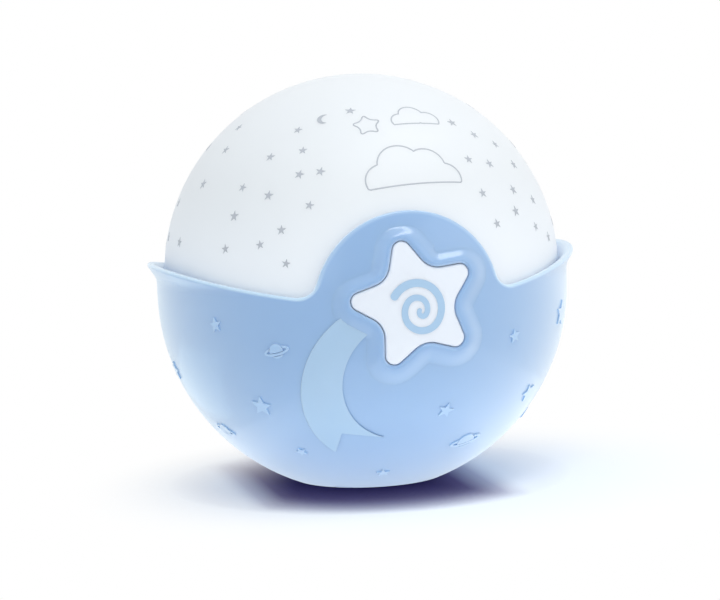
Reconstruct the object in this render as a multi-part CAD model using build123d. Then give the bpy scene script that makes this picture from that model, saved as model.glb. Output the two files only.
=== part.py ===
from build123d import *
import os
from math import asin, cos, degrees, radians, sin, sqrt

os.makedirs("parts", exist_ok=True)

# Bowl: a ball form with a short straight band at its middle and a flat base
bowl_radius = 70.5
bowl_wall = 2.35
base_radius = 26.0
floor_thickness = 2.6
band_height = 5.6

# Flared rim, low at the front and back and high at the two sides
rim_low = 1.6
rim_high = 12.7
flare_out = 4.3
flare_bend = 6.0
flare_margin = 0.15
rim_round = 0.8
edge_tolerance = 0.03

# Arched front tab that carries the button
tab_radius = 31.0
tab_drop = 0.3
tab_fillet = 6.0
tab_root = 3.0

# Star outline of the button
star_shift = 0.7
star_lift = 0.9
star_tip = 24.8
star_valley = 12.0
star_tip_round = 3.0
star_valley_round = 7.5
star_points = 5

# Raised bezel round the star, rounded on both sides
bezel_width = 2.2
bezel_rise = 1.5
bezel_crest_round = 1.1
bezel_foot_round = 0.8
bezel_inner_round = 0.9

# Button cap
cap_rise = 1.3
cap_skin = 1.8
cap_wall = 1.6
cap_round = 0.9
cap_flange = 1.6
cap_flange_thickness = 1.2
cap_flange_gap = 0.3
button_gap = 0.4
button_travel = 1.4
stem_radius = 2.2

# Spiral let into the cap
spiral_side = 1.0
spiral_drop = 2.0
spiral_start = 1.25
spiral_step = 2.35
spiral_half_turns = 4
spiral_thin = 1.5
spiral_thick = 2.6
spiral_depth = 0.7
spiral_proud = 0.12

# Comet tail let into the bowl
tail_depth = 0.8
tail_proud = 0.45
tail_length = 48.0
tail_width = 11.0
tail_clear = 1.0

# Moulded stars and ringed planets on the bowl
relief_rise = 0.5
relief_root = 1.0
relief_star = 3.4
relief_planet = 2.7
relief_ring = 5.0
relief_ring_width = 0.9
relief_gap = 0.25

# Dome
dome_gap = 0.35
dome_wall = 1.8
dome_skirt = 3.0
notch_lap = 3.5

# Deck under the dome
deck_thickness = 2.4
deck_gap = 0.4
deck_rib_thickness = 1.6
deck_rib_height = 4.0
deck_rib_gap = 0.15
deck_notch_room = 1.6
deck_notch_gap = 1.0
pillar_radius = 3.8
pillar_room = 18.15
pillar_count = 4
wire_hole_radius = 3.0

# Screws
screw_shank = 1.2
screw_head = 2.6
screw_head_height = 1.4
screw_length = 8.0

# Lamp board and reflector
led_post_radius = 2.4
led_post_height = 4.0
led_pin_radius = 1.1
led_pin_proud = 0.8
led_post_circle = 10.5
led_post_count = 3
led_board_radius = 14.0
board_thickness = 1.6
led_radius = 2.5
led_height = 5.5
colour_led_radius = 1.5
colour_led_height = 3.2
colour_led_circle = 6.5
reflector_foot_gap = 1.5
reflector_wall = 1.5
reflector_foot_height = 3.0
reflector_height = 9.0
reflector_gap = 7.0

# Main board hung under the deck
main_board_x = 56.0
main_board_y = 40.0
main_board_drop = 8.0
board_inset = 4.0
board_post_radius = 2.8
chip_side = 11.0
chip_height = 1.8
capacitor_radius = 3.1
capacitor_height = 9.0
capacitor_pitch = 9.0
socket_x = 9.0
socket_y = 5.0
socket_height = 6.0

# Cells
cell_radius = 5.25
cell_length = 43.3
cell_nub_radius = 1.9
cell_nub_length = 1.2
cell_count = 3
cell_pitch = 11.2
cell_lift = 0.4

# Battery box
box_wall = 2.0
box_roof_gap = 0.5
box_side_gap = 0.5
box_bowl_gap = 0.15
contact_thickness = 0.4
contact_width = 8.4
contact_height = 8.0
contact_bowl_gap = 0.25
spring_room = 5.0
coil_wire = 0.35
coil_big = 3.4
coil_small = 2.3
coil_half_turns = 6
ear_reach = 8.0
ear_width = 8.0
ear_lift = 4.6
ear_thickness = 2.2
ear_spread = 10.0
box_boss_radius = 3.0
box_rib = 0.5
box_rib_height = 3.0

# Battery door in the base
door_gap = 0.35
door_corner = 3.0
door_inset = 1.65
lobe_radius = 5.2
lobe_reach = 3.5
lobe_clear = 1.7
door_screw_shank = 1.2
door_screw_head = 2.5
door_screw_head_height = 1.0
door_screw_sink = 0.5
door_screw_length = 6.5
door_boss_radius = 3.3
door_boss_height = 7.5
tongue_width = 3.0
tongue_reach = 1.5
tongue_root = 2.6
tongue_thickness = 1.15

# Rubber pads
foot_proud = 0.8
foot_seat = 1.0
foot_width = 4.6
foot_length = 17.0
foot_corner = 1.8
foot_door_gap = 1.2

# Button bracket, switch and return spring
button_room = 15.5
bracket_thickness = 2.0
bracket_radius = 25.6
bracket_boss_radius = 2.9
bracket_boss_circle = 21.0
bracket_screw_length = 6.0
switch_board_x = 22.0
switch_board_z = 24.0
switch_side = 6.0
switch_height = 3.5
plunger_radius = 1.7
plunger_gap = 0.3
plunger_spare = 0.1
switch_skin = 0.3
stem_gap = 0.3
return_radius = 5.6
return_wire = 0.35
return_half_turns = 9

# Inner wires
wire_radius = 0.6
wire_pitch = 2.0
wire_drop = 10.0

# One overrun for all cuts
overrun = 2.0

# Heights that follow from the sizes above
bowl_z = foot_proud + sqrt(bowl_radius**2 - base_radius**2)
dome_z = bowl_z + band_height
floor_z = foot_proud + floor_thickness
inner_radius = bowl_radius - bowl_wall
dome_radius = inner_radius - dome_gap
pillar_circle = inner_radius - pillar_room
bracket_depth = bowl_radius - button_room
deck_notch_depth = bracket_depth - bracket_thickness - screw_head_height - deck_notch_room
lip_radius = bowl_radius + flare_out
saddle_sag = rim_high - rim_low
saddle_radius = (lip_radius**2 + saddle_sag**2) / (2 * saddle_sag)
saddle_z = bowl_z + rim_low + saddle_radius
tab_reach = tab_radius + tab_fillet
tab_z = bowl_z - tab_drop
star_z = bowl_z + star_lift
deck_top = bowl_z - dome_skirt
deck_under = deck_top - deck_thickness
deck_radius = sqrt(inner_radius**2 - (dome_skirt + deck_thickness) ** 2) - deck_gap
box_half_x = cell_pitch + cell_radius + box_side_gap
cell_total = cell_length + cell_nub_length
box_half_y = (cell_total + spring_room + 2 * contact_thickness) / 2
contact_corner = sqrt((cell_pitch + contact_width / 2) ** 2 + box_half_y**2)
contact_reach = sqrt((inner_radius - contact_bowl_gap) ** 2 - contact_corner**2)
contact_z = bowl_z - contact_reach + contact_height / 2
cell_z = max(floor_z + cell_lift + cell_radius, contact_z)
box_roof_z = cell_z + cell_radius + box_roof_gap
door_half_x = box_half_x
door_length = 2 * (box_half_y - door_inset)
board_z = deck_under - main_board_drop
reflector_foot = led_board_radius + reflector_foot_gap
reflector_reach = deck_notch_depth - reflector_gap - reflector_foot - reflector_wall
switch_face = bracket_depth + board_thickness + switch_height
plunger_face = switch_face + button_travel + plunger_spare
plunger_sunk = switch_height - switch_skin - button_travel - plunger_gap
stem_face = plunger_face + stem_gap

# Angles in degrees
star_angle = 12.5
flare_angle = 33.0
spiral_angle = 148.0
low_angle = -60.0
high_angle = 34.0
full_turn = 360.0
half_turn = 180.0
quarter_turn = 90.0

# Shares of the sizes that they follow
half_share = 0.5
valley_limit_share = 1.1
relief_valley_share = 0.45
relief_star_spots_shares = (
    (-56.4, -4.3, 0.75, 10.0),
    (-46.3, -27.3, 1.15, -8.0),
    (-38.8, -43.9, 0.6, 20.0),
    (-6.7, -55.3, 0.7, 5.0),
    (11.6, -30.3, 0.85, -15.0),
    (31.8, -10.6, 0.7, 12.0),
    (48.1, -29.3, 1.05, 25.0),
    (58.5, -7.5, 1.35, -6.0),
    (92.0, -22.0, 0.9, 14.0),
    (118.0, -9.0, 0.75, -20.0),
    (150.0, -27.0, 1.1, 8.0),
    (-88.0, -20.0, 1.0, -12.0),
    (-121.0, -12.0, 0.75, 18.0),
    (-154.0, -24.0, 1.2, 4.0),
    (178.0, -10.0, 0.8, -9.0),
)
relief_planet_spots_shares = (
    (-37.3, -10.7, 0.9, 14.0),
    (25.5, -43.2, 1.2, 16.0),
    (-72.0, -38.0, 1.0, -18.0),
    (75.0, -40.0, 0.95, 15.0),
    (134.0, -40.0, 1.1, -15.0),
    (-138.0, -40.0, 1.0, 12.0),
)
ring_flat_share = 0.34
cross_long_share = 0.62
cross_wide_share = 0.2
cross_deep_share = 0.5
tail_top_left_shares = (-2.1, -0.05)
tail_left_shares = (-3.15, -0.49)
tail_left_tip_shares = (-2.0, -1.02)
tail_notch_shares = (-1.93, -0.87)
tail_right_tip_shares = (-0.7, -0.91)
tail_right_shares = (-2.03, -0.55)
tail_top_right_shares = (-1.2, -0.14)


def prism(sketch, near, far):
    """Front-view sketch pushed from one depth to another, towards the front."""
    return extrude(Plane.XZ.offset(near) * sketch, far - near)


def column(sketch, low, high):
    """Plan-view sketch raised from one height to another."""
    return extrude(Pos(0, 0, low) * sketch, high - low)


def spun(edges):
    """Closed outline in radius and height, turned about the upright axis."""
    return revolve(Plane.XZ * make_face(edges), Axis.Z)


def skin(inner, outer):
    """Band of wall between two offsets from the outer form of the bowl."""
    big = bowl_radius + outer
    small = bowl_radius + inner
    a, b = radians(low_angle), radians(high_angle)
    low = [(r * cos(a), bowl_z + r * sin(a)) for r in (small, big)]
    high = [(r * cos(b), dome_z + r * sin(b)) for r in (small, big)]
    return spun(
        [
            CenterArc((0, bowl_z), big, low_angle, -low_angle),
            Line((big, bowl_z), (big, dome_z)),
            CenterArc((0, dome_z), big, 0, high_angle),
            Line(high[1], high[0]),
            CenterArc((0, dome_z), small, high_angle, -high_angle),
            Line((small, dome_z), (small, bowl_z)),
            CenterArc((0, bowl_z), small, 0, low_angle),
            Line(low[0], low[1]),
        ]
    )


def barrel(offset):
    """Solid ball form of the bowl, grown or shrunk by an offset."""
    r = bowl_radius + offset
    return spun(
        [
            CenterArc((0, bowl_z), r, -quarter_turn, quarter_turn),
            Line((r, bowl_z), (r, dome_z)),
            CenterArc((0, dome_z), r, 0, quarter_turn),
            Line((0, dome_z + r), (0, bowl_z - r)),
        ]
    )


def ring_spots(count, circle, turn):
    """Evenly spaced places on a circle, as plan or front-view offsets."""
    step = full_turn / count
    angles = [radians(turn + step * k) for k in range(count)]
    return [(circle * cos(a), circle * sin(a)) for a in angles]


def star_face(tip, valley, turn):
    """Five-point star with sharp corners."""
    step = half_turn / star_points
    points = []
    for k in range(2 * star_points):
        a = radians(quarter_turn + turn + step * k)
        r = valley if k % 2 else tip
        points.append((r * cos(a), r * sin(a)))
    return make_face(Polyline(*points, close=True))


def button_star():
    """Plump star of the button, with its tips and valleys rounded."""
    face = star_face(star_tip, star_valley, star_angle)
    middle = (star_tip + star_valley) / 2
    tips = [v for v in face.vertices() if Vector(v.X, v.Y).length > middle]
    face = fillet(tips, star_tip_round)
    limit = star_valley * valley_limit_share
    valleys = [v for v in face.vertices() if Vector(v.X, v.Y).length < limit]
    return fillet(valleys, star_valley_round)


def at_star(face):
    """Moves a face to the middle of the button in the front view."""
    return Pos(star_shift, star_z) * face


star = button_star()


def screw(shank, head, head_height, length):
    """Cross-head screw: the underside of its head at zero, its tip down."""
    body = column(Circle(head), 0, head_height) + column(Circle(shank), -length, 0)
    long = 2 * head * cross_long_share
    wide = 2 * head * cross_wide_share
    cross = Rectangle(long, wide) + Rectangle(wide, long)
    return body - column(cross, head_height * cross_deep_share, head_height)


def coil(start_radius, end_radius, length, half_turns, wire):
    """Coil spring along Z from zero, wound on tangent pairs of arcs."""
    rise = (length - 2 * wire) / half_turns
    drop = (end_radius - start_radius) / half_turns

    def spot(k):
        a, r = radians(half_turn * k), start_radius + drop * k
        return Vector(r * cos(a), r * sin(a), wire + rise * k)

    def heading(k):
        a, r = radians(half_turn * k), start_radius + drop * k
        t = radians(half_turn)
        return Vector(
            drop * cos(a) - r * t * sin(a), drop * sin(a) + r * t * cos(a), rise
        ).normalized()

    edges = []
    for k in range(half_turns):
        p, q, s, t = spot(k), spot(k + 1), heading(k), heading(k + 1)
        v, both = q - p, s + t
        bend = 2 * (1 - s.dot(t))
        d = (sqrt(v.dot(both) ** 2 + bend * v.dot(v)) - v.dot(both)) / bend
        first, last = p + s * d, q - t * d
        middle = (first + last) * half_share
        edges.append(TangentArc(p, middle, tangent=s))
        edges.append(TangentArc(middle, q, tangent=last - first))
    path = Wire(edges)
    return sweep(Plane(path @ 0, z_dir=path % 0) * Circle(wire), path=path)


def wire_run(points, radii):
    """Insulated wire along straight runs joined by arcs."""
    path = FilletPolyline(*points, radius=radii)
    return sweep(Plane(path @ 0, z_dir=path % 0) * Circle(wire_radius), path=path)


def save(shape, node):
    export_step(shape, "parts/" + node + ".step")


def front_arch():
    """Front view of what the rim cuts away beside the tab, corners rounded."""
    disc = Pos(0, saddle_z) * Circle(saddle_radius)
    room = Pos(0, bowl_z) * Rectangle(2 * (lip_radius + overrun), 2 * lip_radius)
    face = (disc & room) - Pos(0, tab_z) * Circle(tab_radius)
    corners = [v for v in face.vertices() if abs(v.X) < tab_reach]
    return fillet(corners, tab_fillet)


def rim_height(x):
    """Height of the saddle-shaped rim above the middle of the bowl."""
    return rim_low + saddle_radius - sqrt(saddle_radius**2 - x**2)


def plain_bowl():
    """Bowl with its flared wall, cut by the saddle-shaped rim."""
    base_angle = -degrees(asin((bowl_z - foot_proud) / bowl_radius))
    floor_angle = -degrees(asin((bowl_z - floor_z) / inner_radius))
    floor_radius = inner_radius * cos(radians(floor_angle))
    flare_z = rim_height(tab_reach) + flare_margin
    lean = radians(flare_angle)
    run = (rim_high - flare_z) / cos(lean) + overrun
    hub = (bowl_radius + flare_bend, bowl_z + flare_z)
    back_bend = flare_bend + bowl_wall
    bends = [(hub[0] - r * cos(lean), hub[1] + r * sin(lean)) for r in (flare_bend, back_bend)]
    ends = [(x + run * sin(lean), z + run * cos(lean)) for x, z in bends]
    body = spun(
        [
            Line((0, foot_proud), (base_radius, foot_proud)),
            CenterArc((0, bowl_z), bowl_radius, base_angle, -base_angle),
            Line((bowl_radius, bowl_z), (bowl_radius, hub[1])),
            CenterArc(hub, flare_bend, half_turn, -flare_angle),
            Line(bends[0], ends[0]),
            Line(ends[0], ends[1]),
            Line(ends[1], bends[1]),
            CenterArc(hub, back_bend, half_turn - flare_angle, flare_angle),
            Line((inner_radius, hub[1]), (inner_radius, bowl_z)),
            CenterArc((0, bowl_z), inner_radius, 0, floor_angle),
            Line((floor_radius, floor_z), (0, floor_z)),
            Line((0, floor_z), (0, foot_proud)),
        ]
    )
    reach = 2 * bowl_radius
    saddle = prism(Pos(0, saddle_z) * Circle(saddle_radius), -reach, reach)
    return body - saddle


def front_tab():
    """Arched tab that rises from the front of the rim over the dome."""
    top = tab_z + tab_radius + overrun
    low = bowl_z - tab_root
    window = Pos(0, (top + low) / 2) * Rectangle(2 * tab_reach, top - low)
    return prism(window - front_arch(), 0, lip_radius) & skin(-bowl_wall, 0)


def rim_edges(body):
    """Edges that run along the cut top of the wall and the tab."""
    arch = front_arch().wire()
    found = []
    for edge in body.edges().filter_by(lambda e: e.center().Z > bowl_z):
        ends = [edge @ s for s in (0, half_share, 1)]
        run = Vector(ends[0].X - ends[1].X, 0, ends[0].Z - ends[1].Z).length
        gaps = []
        for p in ends:
            gap = abs(Vector(p.X, p.Z - saddle_z).length - saddle_radius)
            if p.Y < 0:
                gap = min(gap, arch.distance_to(Vertex(p.X, p.Z)))
            gaps.append(gap)
        if run > rim_round and max(gaps) < edge_tolerance:
            found.append(edge)
    return found


def on_skin(edge, rise):
    """True for an edge that lies on the bowl's form grown by a rise."""
    for s in (0, half_share, 1):
        p = edge @ s
        z = min(max(p.Z, bowl_z), dome_z)
        gap = abs(Vector(p.X, p.Y, p.Z - z).length - bowl_radius - rise)
        if gap > edge_tolerance:
            return False
    return True


def bezel_outline(width):
    """Front view of the bezel's wall at a width from the edge of the button's hole."""
    return at_star(offset(star, button_gap + width))


def wall_edges(body, width, rise):
    """Edges where a wall of the bezel meets the bowl's form at a rise."""
    outline = bezel_outline(width).wire()
    found = []
    for edge in body.edges().filter_by(lambda e: e.center().Y < -deck_notch_depth):
        p = edge @ half_share
        gap = outline.distance_to(Vertex(p.X, p.Z))
        if gap < edge_tolerance and on_skin(edge, rise):
            found.append(edge)
    return found


def bezel():
    """Raised star-shaped ridge round the button, its outer crest rounded."""
    ridge = prism(bezel_outline(bezel_width), deck_notch_depth, lip_radius + overrun)
    ridge = ridge & skin(-bowl_wall * half_share, bezel_rise)
    return fillet(wall_edges(ridge, bezel_width, bezel_rise), bezel_crest_round)


def surface_plane(turn, tilt, sink):
    """Plane that touches the lower ball form at a turn and a tilt."""
    a, b = radians(turn), radians(tilt)
    way = Vector(sin(a) * cos(b), -cos(a) * cos(b), sin(b))
    spot = Vector(0, 0, bowl_z) + way * (bowl_radius - sink)
    return Plane(spot, x_dir=Vector(cos(a), sin(a), 0), z_dir=way)


def relief(face, turn, tilt):
    """Face raised from the bowl at a turn and a tilt, its top curved like the bowl."""
    block = extrude(surface_plane(turn, tilt, relief_root) * face, relief_root + overrun)
    return block & skin(-relief_root, relief_rise)


def relief_stars():
    """Small moulded stars scattered over the bowl."""
    solids = []
    for turn, tilt, size_share, spin in relief_star_spots_shares:
        tip = relief_star * size_share
        solids.append(relief(star_face(tip, tip * relief_valley_share, spin), turn, tilt))
    return solids


def oval_band(long, flat, wide, gap):
    """Oval ring grown by a gap on both of its sides."""
    hole = Ellipse(long - wide - gap, flat - wide - gap)
    return Ellipse(long + gap, flat + gap) - hole


def planet_face(size_share):
    """Disc with a ring that passes before it below and behind it above."""
    radius = relief_planet * size_share
    long = relief_ring * size_share
    flat = long * ring_flat_share
    wide = relief_ring_width * size_share
    upper = Pos(0, long / 2) * Rectangle(2 * (long + relief_gap), long)
    ring = oval_band(long, flat, wide, 0)
    room = oval_band(long, flat, wide, relief_gap) - upper
    behind = (ring & upper) - Circle(radius + relief_gap)
    return (Circle(radius) - room) + (ring - upper) + behind


def relief_planets():
    """Small moulded planets with tilted rings."""
    solids = []
    for turn, tilt, size_share, spin in relief_planet_spots_shares:
        solids.append(relief(Rot(0, 0, spin) * planet_face(size_share), turn, tilt))
    return solids


def tail_face():
    """Front view of the comet tail: two curved edges and a forked end."""

    def spot(shares):
        return (shares[0] * tail_width, shares[1] * tail_length)

    top_left, left, left_tip = map(
        spot, (tail_top_left_shares, tail_left_shares, tail_left_tip_shares)
    )
    notch = spot(tail_notch_shares)
    right_tip, right, top_right = map(
        spot, (tail_right_tip_shares, tail_right_shares, tail_top_right_shares)
    )
    face = make_face(
        [
            ThreePointArc(top_left, left, left_tip),
            Line(left_tip, notch),
            Line(notch, right_tip),
            ThreePointArc(right_tip, right, top_right),
            Line(top_right, top_left),
        ]
    )
    face = Pos(0, bowl_z) * face
    return face - at_star(offset(star, button_gap + bezel_width + tail_clear))


def tail_solid(depth, rise):
    """Tail between a depth under the bowl's face and a rise over it."""
    return prism(tail_face(), base_radius, lip_radius + overrun) & skin(-depth, rise)


def pillars():
    """Tall screw pillars that carry the deck."""
    solids = []
    for x, y in ring_spots(pillar_count, pillar_circle, half_turn / pillar_count):
        tube = Circle(pillar_radius) - Circle(screw_shank)
        solids.append(column(Pos(x, y) * tube, foot_proud, deck_under))
    trim = barrel(-bowl_wall * half_share)
    return [solid & trim for solid in solids]


def bracket_spots():
    """Places of the bracket screws, in the valleys of the star."""
    turn = quarter_turn + star_angle + half_turn / star_points
    spots = ring_spots(star_points, bracket_boss_circle, turn)
    lowest = min(spots, key=lambda p: p[1])
    return [p for p in spots if p != lowest]


def bracket_bosses():
    """Screw bosses behind the tab for the button bracket."""
    trim = barrel(-bowl_wall * half_share)
    solids = []
    for x, z in bracket_spots():
        tube = Circle(bracket_boss_radius) - Circle(screw_shank)
        boss = prism(at_star(Pos(x, z) * tube), bracket_depth, lip_radius)
        solids.append(boss & trim)
    return solids


def ear_spots():
    """Places of the four battery box screws."""
    x = box_half_x + box_wall + ear_reach - ear_width / 2
    return [(sx * x, sy * ear_spread) for sx in (-1, 1) for sy in (-1, 1)]


def floor_bosses():
    """Short screw bosses on the floor for the battery box."""
    trim = barrel(-bowl_wall * half_share)
    solids = []
    for x, y in ear_spots():
        tube = Circle(box_boss_radius) - Circle(screw_shank)
        lower = floor_z - floor_thickness * half_share
        solids.append(column(Pos(x, y) * tube, lower, floor_z + ear_lift) & trim)
    return solids


def door_outline(gap):
    """Plan of the battery door with its screw lobe, shrunk by a gap."""
    plate = RectangleRounded(
        2 * (door_half_x - gap), door_length - 2 * gap, door_corner - gap
    )
    return plate + Pos(0, lobe_y()) * Circle(lobe_radius - gap)


def lobe_y():
    return door_length / 2 + lobe_reach


def foot_faces():
    """Plans of the two rubber pads beside the door."""
    faces = []
    x = door_half_x + foot_door_gap + foot_width / 2
    for side in (-1, 1):
        faces.append(Pos(side * x, 0) * RectangleRounded(foot_width, foot_length, foot_corner))
    return faces


def make_lower_shell():
    body = plain_bowl() + front_tab()
    body = body.clean()
    body = fillet(rim_edges(body), rim_round)
    body = body + bezel()
    body = fillet(wall_edges(body, bezel_width, 0), bezel_foot_round)
    body = body - prism(bezel_outline(0), deck_notch_depth, lip_radius + overrun)
    body = fillet(wall_edges(body, 0, bezel_rise), bezel_inner_round)
    body = body + (relief_stars() + relief_planets())
    body = body - tail_solid(tail_depth, bezel_rise)
    body = body + (pillars() + bracket_bosses() + floor_bosses())
    body = body - column(door_outline(0), 0, floor_z + bowl_wall + lobe_radius)
    for face in foot_faces():
        body = body - column(face, 0, foot_proud + foot_seat)
    return body


def make_dome():
    """Hollow dome with a straight skirt and a notch behind the tab."""
    r, s = dome_radius, dome_radius - dome_wall
    low = bowl_z - dome_skirt
    body = spun(
        [
            Line((r, low), (r, dome_z)),
            CenterArc((0, dome_z), r, 0, quarter_turn),
            Line((0, dome_z + r), (0, dome_z + s)),
            CenterArc((0, dome_z), s, quarter_turn, -quarter_turn),
            Line((s, dome_z), (s, low)),
            Line((s, low), (r, low)),
        ]
    )
    arch = Pos(0, tab_z) * Circle(tab_radius - notch_lap)
    return body - prism(arch, base_radius, lip_radius)


def half_circle(first, last, way):
    """Half circle between two places on the level line, above or below it."""
    radius = abs(first[0] - last[0]) / 2
    return ThreePointArc(first, ((first[0] + last[0]) / 2, way * radius), last)


def spiral_face():
    """Spiral band of half circles that grows wider outward, with round ends."""
    grow = (spiral_thick - spiral_thin) / spiral_half_turns
    side, x = 1, 0
    outer, inner = [], []
    for k in range(spiral_half_turns + 1):
        half = (spiral_thin + grow * k) / 2
        outer.append((x + side * half, 0))
        inner.append((x - side * half, 0))
        side = -side
        x = x + side * 2 * (spiral_start + spiral_step * k)
    edges = [half_circle(outer[0], inner[0], -1)]
    way = 1
    for k in range(spiral_half_turns):
        edges.append(half_circle(outer[k], outer[k + 1], way))
        edges.append(half_circle(inner[k], inner[k + 1], way))
        way = -way
    edges.append(half_circle(outer[-1], inner[-1], way))
    shift = spiral_start - spiral_step / 2
    turned = Rot(0, 0, spiral_angle) * Pos(shift, 0) * make_face(edges)
    return Pos(spiral_side, -spiral_drop) * turned


def spiral_solid(rise):
    face = at_star(spiral_face())
    depth = cap_rise - spiral_depth
    return prism(face, deck_notch_depth, lip_radius + overrun) & skin(depth, cap_rise + rise)


def make_star_cap():
    """Hollow star cap with a back flange and a stem to the switch."""
    near, far = deck_notch_depth, lip_radius + overrun
    back = -bowl_wall - cap_flange_gap - cap_flange_thickness
    outer = prism(at_star(star), near, far) & skin(back, cap_rise)
    outer = fillet([e for e in outer.edges() if on_skin(e, cap_rise)], cap_round)
    hollow = prism(at_star(offset(star, -cap_wall)), near, far) & skin(
        back - overrun, cap_rise - cap_skin
    )
    ring = offset(star, cap_flange) - offset(star, -cap_wall)
    flange = prism(at_star(ring), near, far) & skin(back, -bowl_wall - cap_flange_gap)
    stem = prism(at_star(Circle(stem_radius)), stem_face, far) & barrel(
        cap_rise - cap_skin * half_share
    )
    return outer - hollow + flange + stem - spiral_solid(overrun)


def make_deck():
    """Plate under the dome with a locating rib, posts and a front notch."""
    plate = column(Circle(deck_radius), deck_under, deck_top)
    rib_radius = dome_radius - dome_wall - deck_rib_gap
    rib = Circle(rib_radius) - Circle(rib_radius - deck_rib_thickness)
    plate = plate + column(rib, deck_top, deck_top + deck_rib_height)
    for x, y in ring_spots(led_post_count, led_post_circle, quarter_turn):
        post = column(Pos(x, y) * Circle(led_post_radius), deck_top, deck_top + led_post_height)
        pin = deck_top + led_post_height + board_thickness + led_pin_proud
        plate = plate + post + column(Pos(x, y) * Circle(led_pin_radius), deck_top, pin)
    for x, y in board_spots():
        tube = Circle(board_post_radius) - Circle(screw_shank)
        plate = plate + column(Pos(x, y) * tube, board_z, deck_under)
    notch_half = tab_radius - notch_lap + deck_notch_gap
    depth = deck_radius - deck_notch_depth + overrun
    notch = Pos(0, -deck_notch_depth - depth / 2) * Rectangle(2 * notch_half, depth)
    top = deck_top + deck_rib_height + overrun
    plate = plate - column(notch, deck_under - overrun, top)
    plate = plate - column(Circle(wire_hole_radius), deck_under - overrun, top)
    for x, y in ring_spots(pillar_count, pillar_circle, half_turn / pillar_count):
        plate = plate - column(Pos(x, y) * Circle(screw_shank), deck_under - overrun, top)
    return plate


def make_deck_screws():
    piece = screw(screw_shank, screw_head, screw_head_height, screw_length)
    spots = ring_spots(pillar_count, pillar_circle, half_turn / pillar_count)
    return Compound([Pos(x, y, deck_top) * piece for x, y in spots])


def make_reflector():
    """White dish that opens upward round the lamp board."""
    r, t = reflector_foot, reflector_wall
    low = deck_top
    knee = deck_top + reflector_foot_height
    top = knee + reflector_height
    far = r + reflector_reach
    return spun(
        [
            Line((r, low), (r + t, low)),
            Line((r + t, low), (r + t, knee)),
            ThreePointArc(
                (r + t, knee),
                (r + t + reflector_reach * half_share, knee + reflector_height * half_share**2),
                (far + t, top),
            ),
            Line((far + t, top), (far, top + t * half_share)),
            ThreePointArc(
                (far, top + t * half_share),
                (r + reflector_reach * half_share, knee + t + reflector_height * half_share**2),
                (r, knee + t),
            ),
            Line((r, knee + t), (r, low)),
        ]
    )


def make_led_board():
    low = deck_top + led_post_height
    face = Circle(led_board_radius)
    for x, y in ring_spots(led_post_count, led_post_circle, quarter_turn):
        face = face - Pos(x, y) * Circle(led_pin_radius)
    return column(face, low, low + board_thickness)


def lamp(radius, height):
    """Round lamp with a domed top, its foot at zero."""
    body = column(Circle(radius), 0, height - radius)
    return body + Pos(0, 0, height - radius) * Sphere(radius)


def make_projection_led():
    top = deck_top + led_post_height + board_thickness
    return Pos(0, 0, top) * lamp(led_radius, led_height)


def make_colour_leds():
    top = deck_top + led_post_height + board_thickness
    piece = lamp(colour_led_radius, colour_led_height)
    spots = ring_spots(led_post_count, colour_led_circle, -quarter_turn)
    return Compound([Pos(x, y, top) * piece for x, y in spots])


def board_spots():
    """Places of the four screws of the main board."""
    x, y = main_board_x / 2 - board_inset, main_board_y / 2 - board_inset
    return [(sx * x, sy * y) for sx in (-1, 1) for sy in (-1, 1)]


def make_main_board():
    face = Rectangle(main_board_x, main_board_y)
    for x, y in board_spots():
        face = face - Pos(x, y) * Circle(screw_shank)
    return column(face, board_z - board_thickness, board_z)


def make_board_chip():
    face = Rectangle(chip_side, chip_side)
    under = board_z - board_thickness
    return column(face, under - chip_height, under)


def make_board_capacitors():
    under = board_z - board_thickness
    y = main_board_y / 2 - board_inset - capacitor_radius
    spots = [(-capacitor_pitch / 2, y), (capacitor_pitch / 2, y)]
    return Compound(
        [column(Pos(*p) * Circle(capacitor_radius), under - capacitor_height, under) for p in spots]
    )


def socket_spots():
    """Places of the wire sockets under the front edge of the main board."""
    y = -main_board_y / 2 + socket_y / 2
    x = main_board_x / 4
    return [(-x, y), (0, y), (x, y)]


def make_board_sockets():
    under = board_z - board_thickness
    face = Rectangle(socket_x, socket_y)
    return Compound(
        [column(Pos(*p) * face, under - socket_height, under) for p in socket_spots()]
    )


def make_main_board_screws():
    piece = Rot(half_turn, 0, 0) * screw(screw_shank, screw_head, screw_head_height, screw_length)
    under = board_z - board_thickness
    return Compound([Pos(x, y, under) * piece for x, y in board_spots()])


def cell_places():
    """Each cell's place across the box and the way its nub points."""
    places = []
    for k in range(cell_count):
        x = cell_pitch * (k - (cell_count - 1) / 2)
        places.append((x, 1 if k % 2 == 0 else -1))
    return places


def make_battery_cells():
    """Cells lying along Y, each with its nub against a contact plate."""
    face = box_half_y - contact_thickness
    solids = []
    for x, way in cell_places():
        body = extrude(Plane.XZ * Circle(cell_radius), cell_length)
        nub = extrude(Plane.XZ.offset(-cell_nub_length) * Circle(cell_nub_radius), cell_nub_length)
        cell = Pos(0, -cell_nub_length, 0) * (body + nub)
        turn = 0 if way > 0 else half_turn
        solids.append(Pos(x, way * face, cell_z) * Rot(0, 0, turn) * cell)
    return Compound(solids)


def make_battery_springs():
    """Cone-shaped springs between the contact plates and the cells."""
    solids = []
    length = spring_room
    for x, way in cell_places():
        piece = coil(coil_big, coil_small, length, coil_half_turns, coil_wire)
        tilt = -quarter_turn if way > 0 else quarter_turn
        y = -way * (box_half_y - contact_thickness)
        solids.append(Pos(x, y, cell_z) * Rot(tilt, 0, 0) * piece)
    return Compound(solids)


def make_battery_contacts():
    """Flat contact plates at both ends of each cell."""
    solids = []
    plate = Box(contact_width, contact_thickness, contact_height)
    for x, _ in cell_places():
        for side in (-1, 1):
            y = side * (box_half_y - contact_thickness / 2)
            solids.append(Pos(x, y, cell_z) * plate)
    return Compound(solids)


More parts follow.
